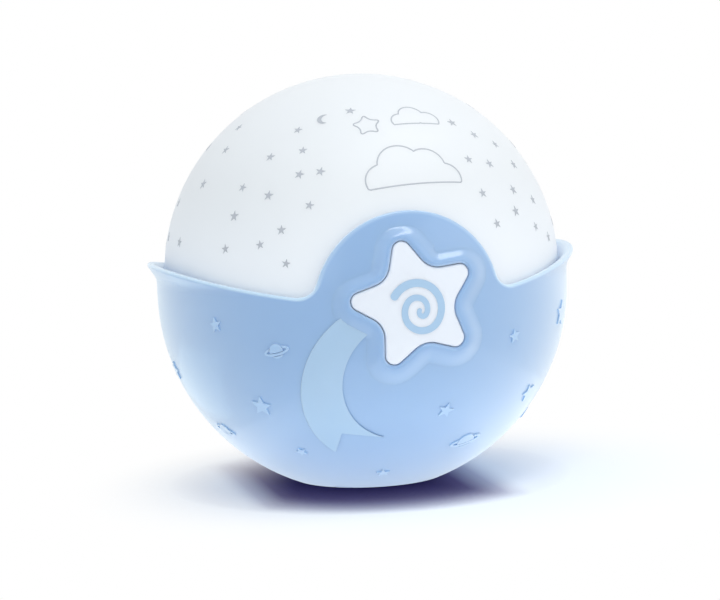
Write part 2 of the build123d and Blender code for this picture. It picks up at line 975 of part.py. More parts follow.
def make_battery_box():
    """Tray open downward over the door, with ears and a door screw boss."""
    out_x, out_y = box_half_x + box_wall, box_half_y + box_wall
    roof = box_roof_z + box_wall
    body = column(Rectangle(2 * out_x, 2 * out_y), floor_z, roof)
    boss = Pos(0, lobe_y()) * Circle(door_boss_radius)
    body = body + column(boss, floor_z, floor_z + door_boss_height)
    body = body - column(Rectangle(2 * box_half_x, 2 * box_half_y), floor_z, box_roof_z)
    for k in range(cell_count - 1):
        x = cell_pitch * (k - (cell_count - 2) / 2)
        rib = Pos(x, 0) * Rectangle(box_rib, 2 * box_half_y)
        body = body + column(rib, box_roof_z - box_rib_height, box_roof_z)
    for x, y in ear_spots():
        side = 1 if x > 0 else -1
        long = ear_reach + box_wall * half_share
        mid = side * (out_x + ear_reach - long / 2)
        ear = Pos(mid, y) * Rectangle(long, ear_width) - Pos(x, y) * Circle(screw_shank)
        body = body + column(ear, floor_z + ear_lift, floor_z + ear_lift + ear_thickness)
    body = body & barrel(-bowl_wall - box_bowl_gap)
    body = body - column(door_outline(0), 0, floor_z + lobe_clear)
    bore = Circle(door_screw_shank + door_gap)
    body = body - column(Pos(0, lobe_y()) * bore, floor_z, floor_z + door_boss_height)
    return body


def make_battery_box_screws():
    piece = screw(screw_shank, screw_head, screw_head_height, ear_lift)
    top = floor_z + ear_lift + ear_thickness
    return Compound([Pos(x, y, top) * piece for x, y in ear_spots()])


def make_battery_door():
    """Piece of the base with two tongues at its front and a screw lobe."""
    plate = plain_bowl() & column(door_outline(door_gap), 0, floor_z + bowl_wall + lobe_radius)
    front = door_gap - door_length / 2
    for side in (-1, 1):
        x = side * cell_pitch / 2
        root = Pos(x, front + tongue_root / 2) * Rectangle(tongue_width, tongue_root)
        top = floor_z + door_gap + tongue_thickness
        plate = plate + column(root, floor_z, top)
        long = tongue_reach + tongue_root
        reach = Pos(x, front - tongue_reach + long / 2) * Rectangle(tongue_width, long)
        plate = plate + column(reach, floor_z + door_gap, top)
    head_z = foot_proud + door_screw_sink + door_screw_head_height
    plate = plate - column(Pos(0, lobe_y()) * Circle(door_screw_head), 0, head_z)
    plate = plate - column(Pos(0, lobe_y()) * Circle(door_screw_shank), 0, floor_z + lobe_radius)
    return plate


def make_door_screw():
    piece = screw(door_screw_shank, door_screw_head, door_screw_head_height, door_screw_length)
    head_z = foot_proud + door_screw_sink + door_screw_head_height
    return Pos(0, lobe_y(), head_z) * Rot(half_turn, 0, 0) * piece


def make_foot_pads():
    return Compound([column(face, 0, foot_proud + foot_seat) for face in foot_faces()])


def make_bracket():
    """Round plate behind the button that holds the switch board."""
    face = Circle(bracket_radius)
    for x, z in bracket_spots():
        face = face - Pos(x, z) * Circle(screw_shank)
    face = face - Pos(0, -wire_drop) * Circle(wire_pitch + wire_radius)
    return prism(at_star(face), bracket_depth - bracket_thickness, bracket_depth)


def make_bracket_screws():
    piece = screw(screw_shank, screw_head, screw_head_height, bracket_screw_length)
    piece = Rot(-quarter_turn, 0, 0) * piece
    y = bracket_thickness - bracket_depth
    return Compound([Pos(star_shift + x, y, star_z + z) * piece for x, z in bracket_spots()])


def make_switch_board():
    face = Rectangle(switch_board_x, switch_board_z)
    return prism(at_star(face), bracket_depth, bracket_depth + board_thickness)


def make_switch_body():
    """Square switch with a round well for its plunger."""
    low = bracket_depth + board_thickness
    body = prism(at_star(Rectangle(switch_side, switch_side)), low, switch_face)
    well = at_star(Circle(plunger_radius + plunger_gap))
    return body - prism(well, low + switch_skin, switch_face)


def make_switch_plunger():
    return prism(at_star(Circle(plunger_radius)), switch_face - plunger_sunk, plunger_face)


def make_button_spring():
    """Coil spring round the switch that lifts the star again."""
    low = bracket_depth + board_thickness
    inside = bowl_radius + cap_rise - cap_skin
    length = inside - low - stem_gap
    piece = coil(return_radius, return_radius, length, return_half_turns, return_wire)
    return Pos(star_shift, -low, star_z) * Rot(quarter_turn, 0, 0) * piece


def make_battery_leads():
    """Two wires from the battery box up to the main board's side sockets."""
    under = board_z - board_thickness - socket_height
    roof = box_roof_z + box_wall
    solids = []
    for x, y in (socket_spots()[0], socket_spots()[2]):
        solids.append(column(Pos(x, y) * Circle(wire_radius), roof, under))
    return Compound(solids)


def make_led_leads():
    """Two wires through the deck from the main board to the lamp board."""
    top = deck_top + led_post_height
    spots = [(-wire_pitch / 2, 0), (wire_pitch / 2, 0)]
    return Compound([column(Pos(*p) * Circle(wire_radius), board_z, top) for p in spots])


def make_switch_leads():
    """Two wires from the switch board back to the middle socket."""
    start, end = -bracket_depth, -main_board_y / 2
    high = star_z - wire_drop
    low = board_z - board_thickness - socket_height / 2
    run = (end - start) / 3
    radius = run * half_share
    solids = []
    for side in (-1, 1):
        x = star_shift + side * wire_pitch / 2
        points = [
            (x, start, high),
            (x, start + run, high),
            (x, end - run, low),
            (x, end, low),
        ]
        solids.append(wire_run(points, [radius, radius]))
    return Compound(solids)


save(make_lower_shell(), "lower_shell")
save(make_dome(), "dome_diffuser")
save(make_star_cap(), "star_cap")
save(spiral_solid(spiral_proud), "spiral_inlay")
save(tail_solid(tail_depth, tail_proud), "comet_tail")
save(make_deck(), "deck_plate")
save(make_deck_screws(), "deck_screws")
save(make_reflector(), "light_reflector")
save(make_led_board(), "led_board")
save(make_projection_led(), "projection_led")
save(make_colour_leds(), "colour_leds")
save(make_main_board(), "main_board")
save(make_board_chip(), "board_chip")
save(make_board_capacitors(), "board_capacitors")
save(make_board_sockets(), "board_sockets")
save(make_main_board_screws(), "main_board_screws")
save(make_battery_box(), "battery_box")
save(make_battery_box_screws(), "battery_box_screws")
save(make_battery_cells(), "battery_cells")
save(make_battery_springs(), "battery_springs")
save(make_battery_contacts(), "battery_contacts")
save(make_battery_door(), "battery_door")
save(make_door_screw(), "door_screw")
save(make_foot_pads(), "foot_pads")
save(make_bracket(), "button_bracket")
save(make_bracket_screws(), "bracket_screws")
save(make_switch_board(), "switch_board")
save(make_switch_body(), "switch_body")
save(make_switch_plunger(), "switch_plunger")
save(make_button_spring(), "button_spring")
save(make_battery_leads(), "battery_leads")
save(make_led_leads(), "led_leads")
save(make_switch_leads(), "switch_leads")
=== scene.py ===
import math
import random

import bmesh
import bpy
from mathutils import Matrix, Vector


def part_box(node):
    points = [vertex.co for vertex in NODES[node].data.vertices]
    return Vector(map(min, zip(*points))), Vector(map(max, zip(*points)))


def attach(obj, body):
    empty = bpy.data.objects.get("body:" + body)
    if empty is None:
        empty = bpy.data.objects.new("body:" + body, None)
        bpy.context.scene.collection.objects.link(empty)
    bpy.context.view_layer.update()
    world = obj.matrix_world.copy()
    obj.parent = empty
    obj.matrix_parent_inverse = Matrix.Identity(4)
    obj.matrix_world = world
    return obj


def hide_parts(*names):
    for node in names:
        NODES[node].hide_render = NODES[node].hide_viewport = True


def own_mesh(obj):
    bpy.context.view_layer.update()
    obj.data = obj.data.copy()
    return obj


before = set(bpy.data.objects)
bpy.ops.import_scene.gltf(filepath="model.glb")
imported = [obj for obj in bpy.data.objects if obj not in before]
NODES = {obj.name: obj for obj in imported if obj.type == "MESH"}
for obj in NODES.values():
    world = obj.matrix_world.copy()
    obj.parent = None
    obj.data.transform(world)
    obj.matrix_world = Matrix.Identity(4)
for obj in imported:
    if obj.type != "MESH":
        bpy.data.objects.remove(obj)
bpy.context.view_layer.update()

# Lengths are in metres, and those given in millimetres are written with MM
MM = 0.001
WHITE = (1.0, 1.0, 1.0, 1.0)


# Small helpers

def linear(red, green, blue):
    """A colour as seen on screen, 0 to 255, as the linear values that shaders use (sRGB curve)."""
    out = []
    for value in (red, green, blue):
        c = value / 255
        out.append(c / 12.92 if c <= 0.04045 else ((c + 0.055) / 1.055) ** 2.4)
    return (*out, 1.0)


def shade(colour, factor):
    """The same colour, darker or lighter."""
    return (*[min(1.0, c * factor) for c in colour[:3]], 1.0)


def add_object(name, data):
    """New object in the scene for a mesh, lamp or camera."""
    made = bpy.data.objects.new(name, data)
    bpy.context.scene.collection.objects.link(made)
    return made


class Tree:
    """Short way to add and join the nodes of a material or of the world."""

    def __init__(self, owner):
        owner.use_nodes = True
        self.nodes = owner.node_tree.nodes
        self.links = owner.node_tree.links
        self.nodes.clear()

    def add(self, kind, inputs=None, **settings):
        node = self.nodes.new("ShaderNode" + kind)
        for key, value in settings.items():
            setattr(node, key, value)
        for key, value in (inputs or {}).items():
            self.put(node.inputs[key], value)
        return node

    def put(self, socket, value):
        if isinstance(value, bpy.types.NodeSocket):
            self.links.new(value, socket)
        else:
            socket.default_value = value

    def math(self, operation, a, b=0.0):
        return self.add("Math", {0: a, 1: b}, operation=operation).outputs[0]

    def square(self, value):
        return self.math("POWER", value, 2.0)

    def noise(self, place, scale, detail):
        return self.add("TexNoise", {"Vector": place, "Scale": scale, "Detail": detail}).outputs["Fac"]

    def ramp(self, factor, stops):
        node = self.add("ValToRGB", {"Fac": factor})
        band = node.color_ramp
        while len(band.elements) < len(stops):
            band.elements.new(0.5)
        for element, (place, colour) in zip(band.elements, stops):
            element.position = place
            element.color = colour
        return node.outputs["Color"]

    def fade(self, value, start, end, low=0.0, high=1.0, smooth=True):
        """low up to start, high from end on, and a slope between them."""
        inputs = {"Value": value, "From Min": start, "From Max": end, "To Min": low, "To Max": high}
        slope = "SMOOTHSTEP" if smooth else "LINEAR"
        return self.add("MapRange", inputs, interpolation_type=slope).outputs["Result"]

    def span(self, factor, low, high):
        return self.fade(factor, 0.0, 1.0, low, high, smooth=False)

    def mix(self, factor, a, b):
        return self.add("Mix", {"Factor": factor, "A": a, "B": b}, data_type="RGBA").outputs["Result"]

    def seen(self):
        """1 for rays that show a thing to the camera, straight, by gloss or through glass, else 0."""
        rays = self.add("LightPath").outputs
        straight = self.math("MAXIMUM", rays["Is Camera Ray"], rays["Is Glossy Ray"])
        return self.math("MAXIMUM", straight, rays["Is Transmission Ray"])

    def finish(self, shader, output="OutputMaterial"):
        out = self.add(output)
        self.links.new(shader.outputs[0], out.inputs["Surface"])


DRIFT_DETAIL, GRAIN_DETAIL = 4.0, 2.0
DRIFT_DARK, DRIFT_PALE = 0.3, 0.7


def surface(name, colour, spread, rough, rough_spread, grain, depth, cloud, build=None, **sockets):
    """Moulded or coated surface: soft colour drift, uneven gloss and a fine grain.

    spread is the share by which the colour drifts, and rough_spread is how far the roughness does.
    cloud is the size of the drift, grain the size of the finest texture and depth its height, all
    in millimetres. build adds a pattern of the surface's own. The sockets are more inputs of the
    shader, with _ in place of a space.
    """
    material = bpy.data.materials.new(name)
    tree = Tree(material)
    place = tree.add("TexCoord").outputs["Object"]
    drift = tree.noise(place, 1 / (cloud * MM), DRIFT_DETAIL)
    fine = tree.noise(place, 1 / (grain * MM), GRAIN_DETAIL)
    dark, pale = shade(colour, 1 - spread), shade(colour, 1 + spread)
    tone = tree.ramp(drift, [(DRIFT_DARK, dark), (DRIFT_PALE, pale)])
    if build:
        tone = build(tree, place, tone)
    gloss = tree.math("ADD", tree.span(drift, -rough_spread, rough_spread),
                      tree.span(fine, rough - rough_spread, rough + rough_spread))
    bump = tree.add("Bump", {"Height": fine, "Strength": 1.0, "Distance": depth * MM})
    inputs = {"Base Color": tone, "Roughness": gloss, "Normal": bump.outputs["Normal"]}
    for key, value in sockets.items():
        inputs[key.replace("_", " ").title().replace("Ior", "IOR")] = value
    tree.finish(tree.add("BsdfPrincipled", inputs))
    return material


def dress(material, slot, *names):
    """Gives CAD nodes their material."""
    for name in names:
        node = NODES[name]
        node.data.materials.clear()
        node.data.materials.append(material)


def piece(name, vertices, faces, material, body, smooth=True):
    """New mesh piece that rides on a body."""
    mesh = bpy.data.meshes.new(name)
    mesh.from_pydata([tuple(v) for v in vertices], [], faces)
    mesh.validate()
    work = bmesh.new()
    work.from_mesh(mesh)
    bmesh.ops.recalc_face_normals(work, faces=work.faces)
    work.to_mesh(mesh)
    work.free()
    for polygon in mesh.polygons:
        polygon.use_smooth = smooth
    mesh.materials.append(material)
    made = add_object(name, mesh)
    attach(made, body)


def band_faces(first, count, wide):
    """Faces between neighbouring rows of a closed band: count rows with wide points each."""
    faces = []
    for k in range(count):
        a, b = first + k * wide, first + (k + 1) % count * wide
        for j in range(wide - 1):
            faces.append((a + j, a + j + 1, b + j + 1, b + j))
    return faces


# Camera at the photograph's viewing angle

AZIMUTH, ELEVATION, TILT = math.radians(-13.26), math.radians(5.98), math.radians(-2.2)
AIM = Vector((0, 0, 0.06633))
DISTANCE = 0.9
LENS, SENSOR_WIDTH = 130.3, 36.0
SHIFT = (-0.0029, -0.0185)
CLIP = (0.01, 50.0)


def make_camera():
    back = Vector((math.sin(AZIMUTH) * math.cos(ELEVATION),
                   -math.cos(AZIMUTH) * math.cos(ELEVATION), math.sin(ELEVATION)))
    right = Vector((math.cos(AZIMUTH), math.sin(AZIMUTH), 0))
    up = back.cross(right)
    x = right * math.cos(TILT) + up * math.sin(TILT)
    y = up * math.cos(TILT) - right * math.sin(TILT)
    data = bpy.data.cameras.new("camera")
    data.lens, data.sensor_width = LENS, SENSOR_WIDTH
    data.shift_x, data.shift_y = SHIFT
    data.clip_start, data.clip_end = CLIP
    camera = add_object("camera", data)
    turn = Matrix((x, y, back)).transposed().to_4x4()
    camera.matrix_world = Matrix.Translation(AIM + back * DISTANCE) @ turn
    bpy.context.scene.camera = camera


make_camera()
bpy.context.scene.view_settings.view_transform = "Standard"


# Floor, with a violet contact shadow that is lighter on the left and the right

FLOOR_REACH = 6.0
FLOOR_TONE = (0.86, 0.865, 0.86, 1.0)
SHADE_MIDDLE, SHADE_FADE = (0.022, -0.02, 0.0), (0.05, 0.13)
SHADE_DEPTH, SHADE_SAMPLES = 0.026, 8
SHADE_LEFT, LEFT_LIT = (-0.052, -0.022), 0.9
SHADE_RIGHT, RIGHT_LIT = (0.008, 0.045), 0.93
SHADE_STOPS = (
    (0.05, (0.045, 0.03, 0.1, 1.0)),
    (0.42, (0.13, 0.1, 0.2, 1.0)),
    (0.75, (0.5, 0.48, 0.56, 1.0)),
    (0.95, (0.98, 0.98, 0.98, 1.0)),
)


def floor_paper():
    """Pale paper, shaded near the object, white to the camera away from it and clear from below."""
    material = bpy.data.materials.new("floor_paper")
    tree = Tree(material)
    seen = tree.seen()
    place = tree.add("TexCoord").outputs["Object"]
    across = tree.add("SeparateXYZ", {0: place}).outputs["X"]
    left_lit = tree.fade(across, *SHADE_LEFT, LEFT_LIT, 0.0)
    right_lit = tree.fade(across, *SHADE_RIGHT, 0.0, RIGHT_LIT)
    # Painted shadow: the floor's colour darkens to violet where the AO node finds the object close, weaker
    # on the left and the right, on top of the lamps' own shadow
    nook = tree.add("AmbientOcclusion", {"Distance": SHADE_DEPTH}, samples=SHADE_SAMPLES)
    open_air = tree.math("MAXIMUM", nook.outputs["AO"], tree.math("MAXIMUM", left_lit, right_lit))
    tone = tree.mix(seen, FLOOR_TONE, tree.ramp(open_air, SHADE_STOPS))
    near = tree.add("BsdfDiffuse", {"Color": tone})
    white = tree.add("Emission", {"Color": WHITE, "Strength": 1.0})
    reach = tree.add("VectorMath", {0: place, 1: SHADE_MIDDLE}, operation="DISTANCE").outputs["Value"]
    far = tree.math("MULTIPLY", tree.fade(reach, *SHADE_FADE), seen)
    lit = tree.add("MixShader", {0: far, 1: near.outputs[0], 2: white.outputs[0]})
    under = tree.add("NewGeometry").outputs["Backfacing"]
    clear = tree.add("BsdfTransparent")
    tree.finish(tree.add("MixShader", {0: under, 1: lit.outputs[0], 2: clear.outputs[0]}))
    return material


def make_floor():
    mesh = bpy.data.meshes.new("floor")
    corners = [(-1, -1), (1, -1), (1, 1), (-1, 1)]
    mesh.from_pydata([(x * FLOOR_REACH, y * FLOOR_REACH, 0) for x, y in corners], [], [(0, 1, 2, 3)])
    mesh.materials.append(floor_paper())
    add_object("floor", mesh)


make_floor()


# World and lamps

ROOM_TINT, ROOM_LIGHT = (0.93, 0.97, 1.0, 1.0), 0.79
CARD_LIFT = 0.0003


def make_world():
    """White to the camera, and a soft cool light on the object."""
    world = bpy.data.worlds.new("studio")
    bpy.context.scene.world = world
    tree = Tree(world)
    white = tree.add("Background", {"Color": WHITE, "Strength": 1.0})
    room = tree.add("Background", {"Color": ROOM_TINT, "Strength": ROOM_LIGHT})
    both = tree.add("MixShader", {0: tree.seen(), 1: room.outputs[0], 2: white.outputs[0]})
    tree.finish(both, "OutputWorld")


def make_lamp(name, place, target, width, height, power, colour=(1.0, 1.0, 1.0)):
    data = bpy.data.lights.new(name, "AREA")
    data.shape, data.size, data.size_y = "RECTANGLE", width, height
    data.energy, data.color = power, colour
    lamp = add_object(name, data)
    lamp.visible_camera = False
    place, target = Vector(place), Vector(target)
    turn = (target - place).to_track_quat("-Z", "Y").to_matrix().to_4x4()
    lamp.matrix_world = Matrix.Translation(place) @ turn


make_world()
make_lamp("top_strip", place=(0.24, -0.32, 1.15), target=(0, 0, 0.05),
          width=1.1, height=0.32, power=4.6)
make_lamp("right_softbox", place=(0.9, -1.1, 0.3), target=(0, 0, 0.06),
          width=1.0, height=1.0, power=2.0)
make_lamp("left_softbox", place=(-1.0, -1.1, 0.55), target=(0, 0, 0.07),
          width=1.0, height=1.0, power=1.9, colour=(0.88, 0.97, 1.0))

# Two cards that lie on the floor and throw its light back up
make_lamp("floor_card", place=(0.025, -0.04, CARD_LIFT), target=(0.025, -0.04, 1.0),
          width=0.18, height=0.18, power=0.045)
make_lamp("side_card", place=(-0.125, 0.07, CARD_LIFT), target=(-0.125, 0.07, 1.0),
          width=0.1, height=0.14, power=0.02, colour=(0.6, 0.9, 1.0))


# Blue of the bowl, with paler reliefs and a painted highlight along the rim

# The star, the reliefs, the rim and the tab have their places from the bowl's middle
SHELL_LOW, SHELL_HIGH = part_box("lower_shell")
BOWL_RADIUS = SHELL_HIGH.y
BASE_RADIUS = 26.0 * MM
BOWL_CENTRE = (0, 0, SHELL_LOW.z + math.sqrt(BOWL_RADIUS ** 2 - BASE_RADIUS ** 2))
STAR_PLACE, STAR_ROOM = (0.7 * MM, 0.9 * MM), 32.0 * MM
RELIEF_LOW, RELIEF_HIGH = BOWL_RADIUS + 0.02 * MM, BOWL_RADIUS + 0.12 * MM
RELIEF_TOP = -2.0 * MM
RELIEF_BLUE = linear(150, 187, 227)
RIM_LOW, RIM_HIGH, LIP_RADIUS = 1.6 * MM, 12.7 * MM, 74.8 * MM
SADDLE_RADIUS = (LIP_RADIUS ** 2 + (RIM_HIGH - RIM_LOW) ** 2) / (2 * (RIM_HIGH - RIM_LOW))
SADDLE_MIDDLE = RIM_LOW + SADDLE_RADIUS
TAB_RADIUS, TAB_DROP, TAB_FILLET = 31.0 * MM, 0.3 * MM, 6.0 * MM
TAB_SIDE, TAB_FOOT, TAB_HIGHLIGHT_SHARE = (38.0 * MM, 46.0 * MM), (4.0 * MM, 12.0 * MM), 0.35
RIM_HIGHLIGHT_DEPTH = (0.5 * MM, 1.5 * MM)
# Pale blue painted along the rim's top edge as a highlight, where the rounded lip catches the light
RIM_HIGHLIGHT_BLUE = linear(184, 211, 235)


def relief_mask(tree, off, axes):
    """1 on the moulded stars and planets, which stand proud of the bowl, and 0 round the button."""
    reach = tree.add("VectorMath", {0: off}, operation="LENGTH").outputs["Value"]
    raised = tree.fade(reach, RELIEF_LOW, RELIEF_HIGH, smooth=False)
    across = tree.square(tree.math("SUBTRACT", axes["X"], STAR_PLACE[0]))
    upward = tree.square(tree.math("SUBTRACT", axes["Z"], STAR_PLACE[1]))
    beside = tree.math("GREATER_THAN", tree.math("ADD", across, upward), STAR_ROOM ** 2)
    away = tree.math("MAXIMUM", beside, tree.math("GREATER_THAN", axes["Y"], 0.0))
    below = tree.math("LESS_THAN", axes["Z"], RELIEF_TOP)
    return tree.math("MULTIPLY", raised, tree.math("MULTIPLY", away, below))


def rim_highlight_mask(tree, axes):
    """Painted highlight on the rim: 1 on the cut top of the wall and the tab, fading to 0 a little way
    below it.

    In the front view both edges are arcs, which a round corner joins.
    """
    sides = []
    for middle, radius, way in ((SADDLE_MIDDLE, SADDLE_RADIUS, 1.0), (-TAB_DROP, TAB_RADIUS, -1.0)):
        height = tree.math("SUBTRACT", axes["Z"], middle)
        reach = tree.math("SQRT", tree.math("ADD", tree.square(axes["X"]), tree.square(height)))
        sides.append(tree.math("MULTIPLY", tree.math("SUBTRACT", radius, reach), way))
    lacks = [tree.math("MAXIMUM", tree.math("SUBTRACT", TAB_FILLET, side), 0.0) for side in sides]
    bend = tree.math("SQRT", tree.math("ADD", *[tree.square(lack) for lack in lacks]))
    nearer = tree.math("MAXIMUM", tree.math("MINIMUM", *sides), TAB_FILLET)
    depth = tree.math("SUBTRACT", bend, nearer)
    return tree.fade(depth, *RIM_HIGHLIGHT_DEPTH, 1.0, 0.0)


def rim_highlight_weight(tree, axes):
    """Strength of the painted rim highlight: 1 along the sides of the rim, and less on the tab."""
    aside = tree.fade(tree.math("ABSOLUTE", axes["X"]), *TAB_SIDE, smooth=False)
    low = tree.fade(axes["Z"], *TAB_FOOT, 1.0, TAB_HIGHLIGHT_SHARE, smooth=False)
    return tree.math("MAXIMUM", aside, low)


def shell_look(tree, place, tone):
    off = tree.add("VectorMath", {0: place, 1: BOWL_CENTRE}, operation="SUBTRACT").outputs["Vector"]
    axes = tree.add("SeparateXYZ", {0: off}).outputs
    tone = tree.mix(relief_mask(tree, off, axes), tone, RELIEF_BLUE)
    # Painted highlight: the rim's top edge turns pale blue
    edge = tree.math("MULTIPLY", rim_highlight_mask(tree, axes), rim_highlight_weight(tree, axes))
    return tree.mix(edge, tone, RIM_HIGHLIGHT_BLUE)


shell_blue = surface(
    "shell_blue", linear(129, 169, 214), spread=0.015, rough=0.34, rough_spread=0.02,
    grain=0.5, depth=0.004, cloud=40.0, build=shell_look,
    subsurface_weight=0.25, subsurface_radius=(0.6, 0.8, 1.0), subsurface_scale=0.004,
    coat_weight=0.9, coat_roughness=0.13,
    sheen_weight=1.0, sheen_roughness=0.62, sheen_tint=(0.86, 0.94, 1.0, 1.0))
dress(shell_blue, "shell_blue", "lower_shell", "battery_door")


# Frosted white of the dome, with painted light towards the skirt

DOME_PAINTED_LIGHT_SPAN = (76.0 * MM, 108.0 * MM)
# Painted light: the skirt's whiter tone lifts the shade that the rim throws on the lower dome
SKIRT_PAINTED_LIGHT = linear(244, 248, 254)


def dome_painted_light(tree, place, tone):
    """Painted light: whiter towards the skirt, brightening the lower dome where the rim cuts off light."""
    height = tree.add("SeparateXYZ", {0: place}).outputs["Z"]
    return tree.mix(tree.fade(height, *DOME_PAINTED_LIGHT_SPAN, 1.0, 0.0), tone, SKIRT_PAINTED_LIGHT)


dome_frost = surface(
    "dome_frost", linear(233, 236, 239), spread=0.006, rough=0.5, rough_spread=0.03,
    grain=0.35, depth=0.006, cloud=45.0, build=dome_painted_light,
    subsurface_weight=0.25, subsurface_radius=(1.0, 1.0, 1.0), subsurface_scale=0.006)
dress(dome_frost, "dome_frost", "dome_diffuser")


# Star button, spiral and tail

star_white = surface(
    "star_white", linear(233, 238, 248), spread=0.008, rough=0.32, rough_spread=0.02,
    grain=0.5, depth=0.004, cloud=20.0,
    subsurface_weight=0.3, subsurface_radius=(1.0, 1.0, 1.0), subsurface_scale=0.003,
    coat_weight=0.2, coat_roughness=0.2)
spiral_blue = surface(
    "spiral_blue", linear(168, 198, 226), spread=0.015, rough=0.36, rough_spread=0.02,
    grain=0.4, depth=0.004, cloud=10.0)
tail_blue = surface(
    "tail_blue", linear(168, 197, 226), spread=0.012, rough=0.34, rough_spread=0.02,
    grain=0.4, depth=0.004, cloud=25.0,
    subsurface_weight=0.2, subsurface_radius=(0.7, 0.85, 1.0), subsurface_scale=0.004,
    sheen_weight=0.2, sheen_roughness=0.4)
dress(star_white, "star_white", "star_cap")
dress(spiral_blue, "spiral_blue", "spiral_inlay")
dress(tail_blue, "tail_blue", "comet_tail")


# Plastics, rubber and metals inside and under the light

inner_white = surface(
    "inner_white", linear(226, 229, 232), spread=0.02, rough=0.45, rough_spread=0.04,
    grain=0.4, depth=0.01, cloud=18.0)
pad_rubber = surface(
    "pad_rubber", linear(58, 60, 68), spread=0.05, rough=0.75, rough_spread=0.06,
    grain=0.3, depth=0.03, cloud=6.0)
screw_steel = surface(
    "screw_steel", linear(176, 178, 182), spread=0.06, rough=0.32, rough_spread=0.07,
    grain=0.15, depth=0.006, cloud=1.5, metallic=1.0)
contact_nickel = surface(
    "contact_nickel", linear(206, 204, 198), spread=0.05, rough=0.22, rough_spread=0.06,
    grain=0.25, depth=0.006, cloud=3.0, metallic=1.0)
chip_black = surface(
    "chip_black", linear(34, 35, 38), spread=0.12, rough=0.55, rough_spread=0.06,
    grain=0.2, depth=0.012, cloud=4.0)
capacitor_sleeve = surface(
    "capacitor_sleeve", linear(44, 58, 92), spread=0.08, rough=0.35, rough_spread=0.05,
    grain=0.4, depth=0.006, cloud=5.0)
wire_sleeve = surface(
    "wire_sleeve", linear(196, 54, 48), spread=0.05, rough=0.42, rough_spread=0.05,
    grain=0.3, depth=0.01, cloud=8.0)
lamp_clear = surface(
    "lamp_clear", linear(236, 241, 246), spread=0.01, rough=0.08, rough_spread=0.02,
    grain=0.6, depth=0.002, cloud=6.0, transmission_weight=0.85, ior=1.52)
dress(inner_white, "inner_white", "deck_plate", "light_reflector", "battery_box", "button_bracket",
      "board_sockets")
dress(pad_rubber, "pad_rubber", "foot_pads")
dress(screw_steel, "screw_steel", "deck_screws", "main_board_screws", "battery_box_screws",
      "bracket_screws", "door_screw")
dress(contact_nickel, "contact_nickel", "battery_springs", "battery_contacts", "button_spring")
dress(chip_black, "chip_black", "board_chip", "switch_body", "switch_plunger")
dress(capacitor_sleeve, "capacitor_sleeve", "board_capacitors")
dress(wire_sleeve, "wire_sleeve", "battery_leads", "led_leads", "switch_leads")
dress(lamp_clear, "lamp_clear", "projection_led", "colour_leds")


# Circuit boards

RUN_SCALE, RUN_WIDTH = 160.0, 0.05
RUN_GREEN = linear(70, 134, 84)


def board_look(tree, place, tone):
    """Green lacquer with paler copper runs under it."""
    runs = tree.add("TexBrick", {"Vector": place, "Scale": RUN_SCALE, "Mortar Size": RUN_WIDTH})
    return tree.mix(runs.outputs["Fac"], tone, RUN_GREEN)


board_green = surface(
    "board_green", linear(38, 98, 58), spread=0.1, rough=0.35, rough_spread=0.05,
    grain=0.5, depth=0.01, cloud=6.0, build=board_look)
dress(board_green, "board_green", "led_board", "main_board", "switch_board")


# Battery cells, the middle one the other way round

CELL_MIDDLE = 5.6 * MM
COPPER_START, COPPER = 11.5 * MM, linear(186, 124, 74)
END_FACING, END_STEEL = 0.8, linear(200, 200, 198)


def cell_look(tree, place, tone):
    """Dark jacket, a copper-coloured band near the nub and bare steel ends."""
    axes = tree.add("SeparateXYZ", {0: place}).outputs
    middle = tree.math("LESS_THAN", tree.math("ABSOLUTE", axes["X"]), CELL_MIDDLE)
    way = tree.math("SUBTRACT", 1.0, tree.math("MULTIPLY", middle, 2.0))
    along = tree.math("MULTIPLY", axes["Y"], way)
    jacket = tree.mix(tree.math("GREATER_THAN", along, COPPER_START), tone, COPPER)
    facing = tree.add("SeparateXYZ", {0: tree.add("TexCoord").outputs["Normal"]}).outputs["Y"]
    end = tree.math("GREATER_THAN", tree.math("ABSOLUTE", facing), END_FACING)
    return tree.mix(end, jacket, END_STEEL)


cell_jacket = surface(
    "cell_jacket", linear(40, 44, 54), spread=0.08, rough=0.3, rough_spread=0.05,
    grain=0.5, depth=0.006, cloud=8.0, build=cell_look, metallic=0.35)
dress(cell_jacket, "cell_jacket", "battery_cells")


# Return spring of the button, a copy of the CAD spring that rides on the housing in its place

def make_spring():
    spring = add_object("return_spring", NODES["button_spring"].data.copy())
    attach(spring, "housing")
    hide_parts("button_spring")
    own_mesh(spring)


make_spring()


# Soft roll over the bezel, from the button's gap out to the bowl

STAR_POINTS = 5
STAR_TIP, STAR_VALLEY = 24.8 * MM, 12.0 * MM
STAR_TIP_ROUND, STAR_VALLEY_ROUND = 3.0 * MM, 7.5 * MM
STAR_TURN = math.radians(12.5)
STAR_GAP = 0.4 * MM
BOWL_BAND = 5.6 * MM
ROLL_RISE, ROLL_SINK, ROLL_EASE = 1.9 * MM, 0.06 * MM, 0.25 * MM
ROLL_CREST, ROLL_INSIDE, ROLL_DROP = 1.1 * MM, 0.28 * MM, 1.8 * MM
ROLL_REACH, ROLL_LEAN, ROLL_RIGHT, ROLL_WIDEST = 5.9 * MM, 1.3 * MM, 1.6 * MM, 7.1 * MM


